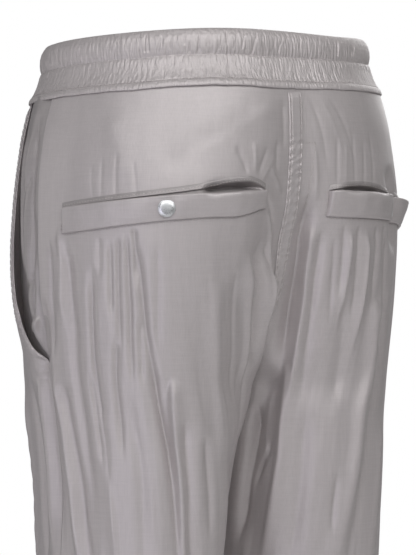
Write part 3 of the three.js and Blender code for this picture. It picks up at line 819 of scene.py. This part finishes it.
def pocket_edge(side, name):
    """The stitched band along the side pocket's mouth, puckered like a rope."""
    z = np.arange(EDGE_TOP, EDGE_FOOT, -1.0)[:, None]
    share = np.linspace(0, 1, 11)[None, :]
    out = -mouth_ahead(z) - 0.2 - EDGE_WIDTH * edge_narrowing(z) * share
    ends = smooth((EDGE_TOP - z) / 5) * smooth((z - EDGE_FOOT) / 8)
    edge = np.clip(1 - np.abs(2 * share - 1) ** 5, 0, 1)
    outer = 0.4 + 0.6 * np.exp(-((share - 0.12) / 0.2) ** 2)
    rope = np.sin(2 * np.pi * z / ROPE_PITCH + ROPE_SLANT * share) * outer
    lift = 0.35 + (0.9 * edge + 0.75 * rope * edge) * ends
    points = off_skin(side, out, z, lift)
    piece = grid_object(f"side_pocket_edge_{name}", points, SATIN, flip=side > 0)
    finish_piece(piece, "satin")


# ---- Back pockets ----
# The welt band's section from inside its top edge to its foot: share of the height, lift and
# share of the gape.
WELT_SECTION = ((0.4, 0.9, 0.5), (0.2, 1.3, 0.75), (0.04, 1.9, 0.97), (-0.02, 2.5, 1), (-0.03, 3.1, 1),
                (-0.01, 3.7, 1), (0.03, 4, 0.98), (0.08, 3.7, 0.93), (0.13, 3.9, 0.88), (0.3, 3.8, 0.7),
                (0.5, 3.5, 0.45), (0.7, 3.2, 0.25), (0.86, 2.9, 0.1), (0.91, 2.5, 0.05),
                (0.96, 2.7, 0.02), (0.995, 2.2, 0), (1.01, 1.2, 0), (1.01, 0.2, 0))
WELT_POINTS, LIP_POINTS = 160, 130
# The snap pulls the band in by SNAP_PULL over SNAP_PULL_WIDTH, and the band ripples.
SNAP_PULL, SNAP_PULL_WIDTH, WELT_RIPPLE = 0.9, 9, 0.45
# The facing from the lip over the mouth down behind the band: distance below the lip and lift.
LIP_SECTION = ((-4.2, 0.15), (-3.6, 0.6), (-1.5, 1), (-0.3, 1.5), (0.3, 1.5), (0.6, 1), (0.7, 0.4))


def along_welt(name, count, closing):
    """Distances along a welt, and how it closes down on the panel at its two ends."""
    first, last = WELTS[name][0, 0], WELTS[name][-1, 0]
    across = np.linspace(first, last, count)
    return across, smooth((across - first) / closing) * smooth((last - across) / closing)


def welt_cloth(side, name):
    """The welt band: a thin folded wall, open along its top where the mouth gapes."""
    lines = WELT[name]
    across, ends = along_welt(name, WELT_POINTS, 1.8)
    ripple = Noise(61 + side)
    rows = []
    for share, lift, gape in WELT_SECTION:
        z = lines["top"](across) + (lines["bottom"](across) - lines["top"](across)) * share
        pull = np.exp(-((across - SNAP_OUT) / SNAP_PULL_WIDTH) ** 2) * max(0, 1 - abs(share - 0.5) * 2)
        full = (lift + gape * lines["gape"](across) - SNAP_PULL * pull
                + WELT_RIPPLE * ripple(across / 10, share * 1.6) * min(1, lift / 3))
        rows.append(off_plan(side, from_back_seam(across, z), z, 0.2 + (full - 0.2) * ends))
    piece = grid_object(f"welt_band_{name}", np.array(rows), SATIN, flip=side < 0)
    finish_piece(piece, "satin", f"welt_{name}")


def welt_inside(side, name):
    """The lip above the mouth and the facing behind it."""
    lines = WELT[name]
    across, ends = along_welt(name, LIP_POINTS, 2.5)
    rows = []

    def add(z, lift):
        rows.append(off_plan(side, from_back_seam(across, z), z, 0.15 + (lift - 0.15) * ends))

    for below, lift in LIP_SECTION:
        add(lines["lip"](across) - below, lift)
    for share in np.linspace(0.25, 0.95, 8):
        add(lines["lip"](across) + (lines["top"](across) - lines["lip"](across)) * share - 0.6, 0.2)
    for below, lift in ((1.4, 0.35), (4, 0.5), (8, 0.6)):
        add(lines["top"](across) - below, lift)
    # The lip and its facing take the darker satin: painted shade in the welt's mouth.
    piece = grid_object(f"welt_lip_{name}", np.array(rows), SHADED_SATIN, flip=side > 0)
    finish_piece(piece, "satin_facing", f"welt_facing_{name}")


# The snap cap's profile, as radius and height over its seat, which stands SNAP_SEAT off the cloth.
SNAP_SEAT = 3.2
SNAP_PROFILE = ((0, 0.2), (6.6, 0.2), (7.3, 0.45), (7.5, 0.9), (7.4, 1.3), (7.05, 1.5), (6.75, 1.42),
                (6.5, 1.5), (6.1, 1.75), (5.2, 2), (4, 2.15), (2.6, 2.22), (1.3, 2.26), (0, 2.27))


def snap(side, name):
    turn = np.linspace(0, 2 * math.pi, 64, endpoint=False)
    lines = WELT[name]
    z = float(lines["top"](SNAP_OUT) + lines["bottom"](SNAP_OUT)) / 2
    out = float(from_back_seam(SNAP_OUT, z))
    normal = skin_normal(side, out, z)
    right = np.cross(normal, [0, 0, 1.0])
    right /= np.linalg.norm(right)
    up = np.cross(right, normal)
    seat = skin(side, out, z) + normal * SNAP_SEAT
    circle = np.cos(turn)[:, None] * right + np.sin(turn)[:, None] * up
    points = np.array([seat + normal * height + radius * circle for radius, height in SNAP_PROFILE])
    piece = grid_object(f"snap_cap_{name}", points, STEEL, wrap=True, flip=True)
    clean(piece)
    finish_piece(piece, "snap_steel", f"snap_{name}")


# ---- Centre-back strip ----
STRIP_COLUMNS, STRIP_STEP = 27, 0.8
# The strip's height, and its two sewn grooves: depth, and place and width as shares of its half.
STRIP_RISE, GROOVE, GROOVE_PLACE, GROOVE_WIDTH = 1.3, 0.6, 0.7, 0.09


def centre_back_strip():
    """The felled seam: flat at the top, puckered along both edges further down."""
    z = np.arange(STRIP[0, 0], STRIP[-1, 0], -STRIP_STEP)[:, None]
    share = np.linspace(-1, 1, STRIP_COLUMNS)[None, :]
    rope = Noise(5)
    half = strip_half(z)
    ends = smooth((STRIP[0, 0] - z) / 6) * smooth((z - STRIP[-1, 0]) / 16)
    pull = smooth((-z - 84) / 22)
    wobble = 3.4 * rope(z / 10, 0.5 + 6 * (share > 0))
    wave = np.sin(2 * np.pi * z / PUCKER_LENGTH + share * 2.2 + wobble)
    edge = np.sqrt(np.clip(1 - share**6, 0, 1))
    lift = 0.4 + STRIP_RISE * edge * ends
    depth = (0.15 + 0.85 * np.abs(share) ** 1.4) * (0.65 + 0.5 * rope(z / 15, 7.5))
    lift = lift + pull * ends * wave * edge * depth
    lift = lift - GROOVE * np.exp(-((np.abs(share) - GROOVE_PLACE) / GROOVE_WIDTH) ** 2) * ends
    out = reach(z, "back") - np.abs(share) * half
    left, right = off_skin(LEFT, out, z, lift), off_skin(RIGHT, out, z, lift)
    points = np.where((share > 0)[..., None], left, right)
    middle = STRIP_COLUMNS // 2
    points[:, middle] = (left[:, middle] + right[:, middle]) / 2
    piece = grid_object("centre_back_seam", points, SATIN, flip=True)
    finish_piece(piece, "satin", "centre_back_strip")


# ---- Waistband ----
BAND_COLUMNS = 1500
GIRTH = 900.0
CHANNEL_SEAM, STRIP_SEAM, BAND_JOIN = -24.0, -45.5, 62
# The band's section: height, distance from the panels and share of the gathers.
BAND_KEYS = np.array([
    [-50, -1.2, 0], [-30, -3.8, 0], [-14, -4.4, 0.1], [-6, -6, 0.2], [-2.4, -6.4, 0.3], [-1.3, -5.2, 0.4],
    [-1.8, -3.7, 0.6], [-4, -2, 0.8], [-7.6, -0.2, 1], [-12, 0.6, 1], [-17, 0.4, 1], [-20.4, -0.3, 1],
    [-22.8, -1.2, 0.9], [-24, -2, 0.4], [-25.2, -1.2, 0.8], [-28, -0.4, 1], [-33, 0.1, 1], [-38, 0.2, 1],
    [-42, 0.3, 0.9], [-44.6, 0.6, 0.6], [-45.5, 0.4, 0.2], [-46.4, 1.3, 0.3], [-49, 2, 0.25],
    [-51.2, 2, 0.2], [-52, 1.5, 0.1], [-52.1, 0.8, 0], [-51, 0.35, 0], [-47.5, 0.32, 0],
])
# The mesh's rows: last key of each part of the section, and how many rows the part takes.
BAND_ROWS = ((5, 7), (13, 24), (20, 20), (26, 9), (27, 1))


def band_rows():
    """The section sampled finely where it shows and coarsely inside."""
    at = []
    first = 0
    for last, count in BAND_ROWS:
        at.append(np.linspace(first, last, count, endpoint=False))
        first = last
    at = np.concatenate(at + [[first]])
    keys = np.arange(len(BAND_KEYS))
    return [np.interp(at, keys, BAND_KEYS[:, i]) for i in range(3)]


def gather_field(s, z):
    """Shirring at distance s round the waist: gathers up and down from each stitched line.

    Every gather has a foot, a head, a slant, a width and a depth, drawn in that order.
    """
    random = np.random.RandomState(19)
    depth = np.zeros_like(s)

    def crease(centre, low, high, slant, width, amount):
        d = (s - centre - slant * (z - low) / (high - low) + GIRTH / 2) % GIRTH - GIRTH / 2
        t = (z - low) / (high - low)
        near = (np.abs(d) < 3 * width) & (t > -0.02) & (t < 1)
        ends = smooth(t[near] / 0.1 + 0.7) * smooth((1 - t[near]) / 0.9)
        depth[near] += amount * ends * np.exp(-np.abs(d[near] / width) ** 1.6)

    def row(count, jitter, make):
        for i in range(count):
            crease(GIRTH * (i + random.uniform(-jitter, jitter)) / count, *make())

    uniform = random.uniform
    row(330, 0.4, lambda: (CHANNEL_SEAM + 0.2, CHANNEL_SEAM + uniform(8, 24), uniform(-3, 3),
                           uniform(0.5, 0.9), -uniform(0.3, 1.0)))
    row(150, 0.45, lambda: (CHANNEL_SEAM + uniform(0.5, 9), 3.5, uniform(-9, 5),
                            uniform(0.5, 1), -uniform(0.3, 0.9)))
    row(280, 0.45, lambda: (STRIP_SEAM + 0.4, STRIP_SEAM + uniform(9, 24), uniform(-1.5, 1.5),
                            uniform(0.5, 0.9), -uniform(0.2, 0.7)))
    row(130, 0.45, lambda: (CHANNEL_SEAM - 0.5, CHANNEL_SEAM - uniform(8, 19), uniform(-2, 2),
                            uniform(0.5, 1), -uniform(0.25, 0.8)))
    crease(BAND_JOIN, STRIP_SEAM, 4, 1.5, 0.7, -1.2)
    return depth


# Behind, the worn band dips on the wearer's right and rides up on the left: place across, width,
# amount at the band's foot and what is added to it towards the top.
BAND_DIP, BAND_RISE = (-58, 55, 1, 2.4), (78, 45, 2.2, -1.4)


def band_settling(points, z):
    high = (z + WAISTBAND_HEIGHT) / WAISTBAND_HEIGHT

    def hump(place, width, foot, more):
        return np.exp(-((points[..., 0] - place) / width) ** 2) * (foot + more * high)

    return (hump(*BAND_RISE) - hump(*BAND_DIP)) * smooth((points[..., 1] - 20) / 70)


def waistband():
    """The elastic band: its section led round the waist, from the back seam to the left first."""
    zs, distances, gathers = band_rows()
    turn = np.linspace(0, 2, BAND_COLUMNS, endpoint=False)
    share = np.where(turn <= 1, turn, 2 - turn)
    z = np.broadcast_to(zs[:, None], (len(zs), BAND_COLUMNS))
    out = reach(zs, "back")[:, None] - share * (reach(zs, "back") + reach(zs, "front"))[:, None]
    around = np.broadcast_to(turn * GIRTH / 2, z.shape)
    drift = Noise(41)
    lift = (distances[:, None] + gathers[:, None] * gather_field(around, z)
            + 0.35 * gathers[:, None] * drift(turn * 24, z / 16))
    # The gathers stop short of the panels below and of the elastic above.
    lift = np.maximum(lift, np.where(z < -45.8, 0.3, distances[:, None] - 1.6))
    wave = 0.9 * drift(turn * 15, 5.5) + 0.5 * drift(turn * 41, 8.5)
    points = np.zeros(z.shape + (3,))
    for side, _ in SIDES:
        pick = (turn <= 1) if side > 0 else (turn > 1)
        points[:, pick] = off_skin(side, out[:, pick], z[:, pick] + wave[pick] * (z[:, pick] < -12),
                                   lift[:, pick])
    points[:, 0, 0] = 0
    points[..., 2] += band_settling(points, z)
    piece = grid_object("waistband_cloth", points, GATHERED, wrap=True, flip=True)
    finish_piece(piece, "satin", "waistband")


# ---- Stitching ----
STITCH_PITCH, STITCH_LENGTH, STITCH_RADIUS, STITCH_SIDES = 2.8, 2.0, 0.24, 6
# Rings of one stitch: share of its length, share of its radius and how deep it dips in.
STITCH_RINGS = ((0, 0.25, 0.22), (0.14, 0.85, 0), (0.5, 1.15, 0), (0.86, 0.85, 0), (1, 0.25, 0.22))


def stitches(name, lines):
    """Lock stitches along lines given as (side, outs, heights, lifts)."""
    points, faces = [], []
    angles = np.linspace(0, 2 * np.pi, STITCH_SIDES, endpoint=False)
    for side, out, z, lift in lines:
        out, z, lift = together(out, z, lift)
        path, normal = off_skin(side, out, z, lift), skin_normal(side, out, z)
        path[:, 2] += band_settling(path, z) * (z > -WAISTBAND_HEIGHT)
        length = np.concatenate([[0], np.cumsum(np.linalg.norm(np.diff(path, axis=0), axis=1))])
        starts = np.arange(0.5, length[-1] - STITCH_LENGTH, STITCH_PITCH)
        for start in starts:
            ends = np.array([start, start + STITCH_LENGTH])
            a, b = (np.array([np.interp(e, length, path[:, k]) for k in range(3)]) for e in ends)
            n = normal[min(len(normal) - 1, int(np.searchsorted(length, start)))]
            direction = (b - a) / np.linalg.norm(b - a)
            across = np.cross(direction, n)
            first = len(points)
            for t, r, dip in STITCH_RINGS:
                middle = a + (b - a) * t - n * dip
                for angle in angles:
                    spoke = math.cos(angle) * across + math.sin(angle) * n
                    points.append(middle + STITCH_RADIUS * r * spoke)
            for ring in range(len(STITCH_RINGS) - 1):
                corner = first + ring * STITCH_SIDES
                above = corner + STITCH_SIDES
                for k in range(STITCH_SIDES):
                    k2 = (k + 1) % STITCH_SIDES
                    faces.append((corner + k, corner + k2, above + k2, above + k))
    piece = mesh_object(name, np.array(points), np.array(faces), THREAD)
    return finish_piece(piece, "satin")


def welt_stitches(side, name):
    lines = WELT[name]
    across = np.linspace(WELTS[name][0, 0] + 1.5, WELTS[name][-1, 0] - 1.5, 120)
    foot = lines["bottom"](across) - 1.2
    head = lines["lip"](across) + 1.6
    made = [(side, from_back_seam(across, foot), foot, 0.3),
            (side, from_back_seam(across, head), head, 1.1)]
    for end in (WELTS[name][0, 0] - 1, WELTS[name][-1, 0] + 1):
        z = np.linspace(lines["lip"](end), lines["bottom"](end), 12)
        made.append((side, from_back_seam(end, z), z, 0.3))
    return made


# Side, distances from the back seam, heights and number of points.
SHORT_SEAMS = ((RIGHT, (9, 20), (-99.5, -99.5), 8), (RIGHT, (20, 15), (-100, -158), 28),
               (LEFT, (5, 9), (-238, -300), 30))


def seam_stitches():
    """Lines along the centre strip, side pockets, hems and band, and three short seams."""
    made = []
    hem, strip_line = -OUTSEAM + HEM_DEPTH, STRIP_SEAM + 0.1
    for side, name in SIDES:
        z = np.linspace(-58, -238, 90)
        made.append((side, from_back_seam(strip_half(z) * 0.7, z), z, 1.5))
        z = np.linspace(-60, -278, 110)
        made.append((side, -mouth_ahead(z) - 7.2 * edge_narrowing(z), z, 1.1))
        z = np.linspace(-282, -294, 8)
        made.append((side, -2.0 + 0 * z, z, 0.4))
        u = np.linspace(0.002, 0.998, 200)
        for face, sign in (("back", 1), ("front", -1)):
            for level, lift in ((hem, 0.25), (strip_line, 0.75)):
                made.append((side, sign * reach(level, face) * u, level + 0 * u, lift))
    for side, across, heights, count in SHORT_SEAMS:
        z = np.linspace(*heights, count)
        made.append((side, from_back_seam(np.linspace(*across, count), z), z, 0.3))
    return made


# ---- The garment ----
welt_lines = []
for side, name in SIDES:
    panel_cloth(side, name, "back")
    panel_cloth(side, name, "front")
    pocket_facing_cloth(side, name)
    pocket_edge(side, name)
    welt_cloth(side, name)
    welt_inside(side, name)
    snap(side, name)
    welt_lines += welt_stitches(side, name)
centre_back_strip()
waistband()
stitches("seam_stitching", seam_stitches())
stitches("welt_stitching", welt_lines)

# ---- Camera, light and floor ----
# The view is turned from straight behind towards the wearer's left. FRAME_HEIGHT is what the
# picture takes in at the garment's middle.
VIEW_TURN = math.radians(36)
VIEW_DISTANCE, VIEW_LEVEL, VIEW_OFFSET = 2.3, -0.213, 0.0018
FRAME_HEIGHT = 0.4995
SENSOR = 36
WHITE = (1, 1, 1)
# The light from below is a little cooler, as the legs are in the photo.
COOL = (0.88, 0.86, 1.0)
# Name, place backward, rightward and upward, size, power and colour.
LIGHTS = (
    ("key", (2.1, 0.2, 1.1), (3.3, 1.95), 39.5, WHITE),
    ("low", (1.8, -1.1, -0.6), (1.2, 1.0), 5.5, COOL),
    ("side", (-0.1, -2.2, 0.1), (0.6, 1.8), 5, WHITE),
    ("high", (0.9, 1.2, 1.1), (0.5, 0.7), 5, WHITE),
    ("front", (-2.2, 0.8, 0.9), (1.6, 1.6), 22, WHITE),
)
LIGHT_TARGET = -0.2

backward = Vector((math.sin(VIEW_TURN), math.cos(VIEW_TURN), 0))
rightward = Vector((-math.cos(VIEW_TURN), math.sin(VIEW_TURN), 0))
upward = Vector((0, 0, 1))


def aim(thing, target):
    thing.rotation_euler = (target - thing.location).to_track_quat("-Z", "Y").to_euler()


def add_camera():
    camera = bpy.data.objects.new("camera", bpy.data.cameras.new("camera"))
    bpy.context.scene.collection.objects.link(camera)
    bpy.context.scene.camera = camera
    middle = rightward * VIEW_OFFSET + upward * VIEW_LEVEL
    camera.location = middle + backward * VIEW_DISTANCE
    camera.data.sensor_width = SENSOR
    camera.data.lens = SENSOR * VIEW_DISTANCE / FRAME_HEIGHT
    camera.data.clip_start = 0.05
    camera.data.clip_end = 50
    aim(camera, middle)


def add_area_light(name, place, size, power, color):
    light = bpy.data.lights.new(name, "AREA")
    light.shape = "RECTANGLE"
    light.size, light.size_y = size
    light.energy = power
    light.color = color
    thing = bpy.data.objects.new(name, light)
    bpy.context.scene.collection.objects.link(thing)
    thing.location = backward * place[0] + rightward * place[1] + upward * place[2]
    aim(thing, upward * LIGHT_TARGET)


def add_world(seen_strength, light_strength):
    """A white world, bright where the camera sees it and dim as a light."""
    world = bpy.data.worlds.new("studio")
    bpy.context.scene.world = world
    world.use_nodes = True
    links = world.node_tree.links
    background = world.node_tree.nodes["Background"]
    set_inputs(background, {"Color": (1, 1, 1, 1)})
    seen = new_node(world, "LightPath", {})
    strength = new_node(world, "MapRange", {"To Min": light_strength, "To Max": seen_strength})
    links.new(seen.outputs["Is Camera Ray"], strength.inputs["Value"])
    links.new(strength.outputs["Result"], background.inputs["Strength"])


def add_floor():
    bpy.ops.mesh.primitive_circle_add(vertices=96, radius=2.6, fill_type="NGON",
                                      location=(0, 0, -(OUTSEAM + 40) * MM))
    floor = bpy.context.object
    floor.name = "floor"
    material, shader = new_material("floor")
    set_inputs(shader, {"Base Color": (0.9, 0.9, 0.9, 1), "Roughness": 0.8})
    floor.data.materials.append(material)


add_camera()
add_world(1.0, 0.15)
for light in LIGHTS:
    add_area_light(*light)
add_floor()
bpy.context.scene.view_settings.view_transform = "Standard"
